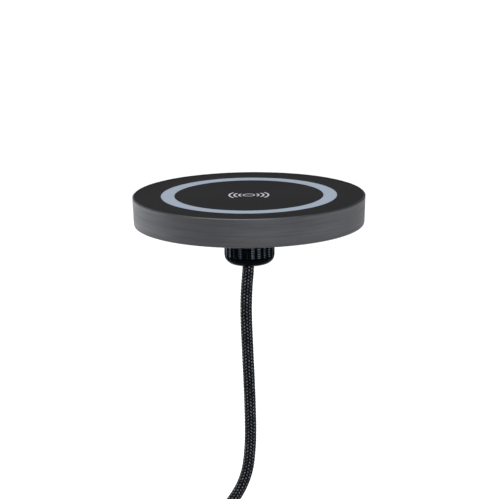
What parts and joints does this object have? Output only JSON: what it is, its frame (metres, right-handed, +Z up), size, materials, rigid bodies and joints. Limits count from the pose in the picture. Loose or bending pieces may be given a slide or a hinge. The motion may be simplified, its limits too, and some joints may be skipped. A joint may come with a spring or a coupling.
{
  "type": "wireless charging pad",
  "caption": "Round flush-top wireless charging pad with a brushed metal wall, a frosted ring, a ribbed clamp nut on a hollow stem and a braided cord ending in a plug.",
  "frame": {"origin": "centre of the foot ring's underside, in the plane of the desk top, on the stem's axis", "axes": "+Z up out of the charging face along the stem's axis, user at -Y; the cord hangs towards -Z"},
  "size_m": [0.08, 0.08, 0.2482],
  "materials": {
    "gunmetal": "brushed, dark anodised, fine horizontal grain",
    "black_top": "matte black, very fine texture",
    "frosted_ring": "frosted, pale blue-grey, unlit",
    "pale_ink": "screen-printed, satin",
    "base_plastic": "moulded, fine grain",
    "dark_steel": "black oxide, satin",
    "soft_rubber": "matte silicone",
    "stem_metal": "black zinc on turned metal",
    "screw_steel": "zinc plated",
    "nut_plastic": "glossy black, knurled ribs",
    "foam": "double-sided foam",
    "copper_wire": "enamelled litz wire",
    "ferrite": "sintered, dull",
    "carrier_plastic": "natural moulded",
    "clear_plastic": "milky light guide",
    "led_white": "moulded package",
    "circuit_board": "green solder mask",
    "chip_black": "moulded package",
    "capacitor_tan": "satin",
    "wire_insulation": "smooth insulation",
    "cord_braid": "braided sleeve with light flecks",
    "strap_fabric": "woven hook-and-loop strap",
    "plug_plastic": "soft-touch overmould",
    "plug_metal": "nickel plated, satin"
  },
  "bodies": {
    "pad": {"housing_ring": "gunmetal", "top_plate": "black_top", "light_ring": "frosted_ring", "centre_disc": "black_top", "charge_icon": "pale_ink", "base_plate": "base_plastic", "base_screws": "dark_steel", "foot_ring": "soft_rubber", "threaded_stem": "stem_metal", "stem_screws": "screw_steel", "cord_collar": "screw_steel", "cord_bush": "soft_rubber", "coil_foam": "foam", "transmit_coil": "copper_wire", "coil_leads": "copper_wire", "temperature_sensor": "chip_black", "ferrite_plate": "ferrite", "coil_carrier": "carrier_plastic", "light_guide": "clear_plastic", "status_leds": "led_white", "main_board": "circuit_board", "board_screws": "screw_steel", "controller_chip": "chip_black", "power_switches": "chip_black", "resonance_capacitors": "capacitor_tan", "power_inductor": "ferrite", "inner_leads": "wire_insulation", "cord": "cord_braid", "cord_hank": "cord_braid", "cord_tail": "cord_braid", "hank_tie": "strap_fabric", "plug_relief": "soft_rubber", "plug_body": "plug_plastic", "plug_shell": "plug_metal", "plug_insert": "chip_black"},
    "washer": {"clamp_washer": "dark_steel"},
    "nut": {"thumb_nut": "nut_plastic"}
  },
  "joints": [
    {"name": "washer_slide", "type": "slide", "parent": "pad", "child": "washer", "axis": [0, 0, 1], "range_m": [-0.003, 0.0016]},
    {"name": "nut_turn", "type": "hinge", "parent": "washer", "child": "nut", "pos_m": [0, 0, -0.0088], "axis": [0, 0, 1], "range_deg": [-720.1, 384.1]}
  ],
  "couplings": [
    {"joint": "nut_turn", "follows": "washer_slide", "rad_per_m": 4188.8}
  ]
}
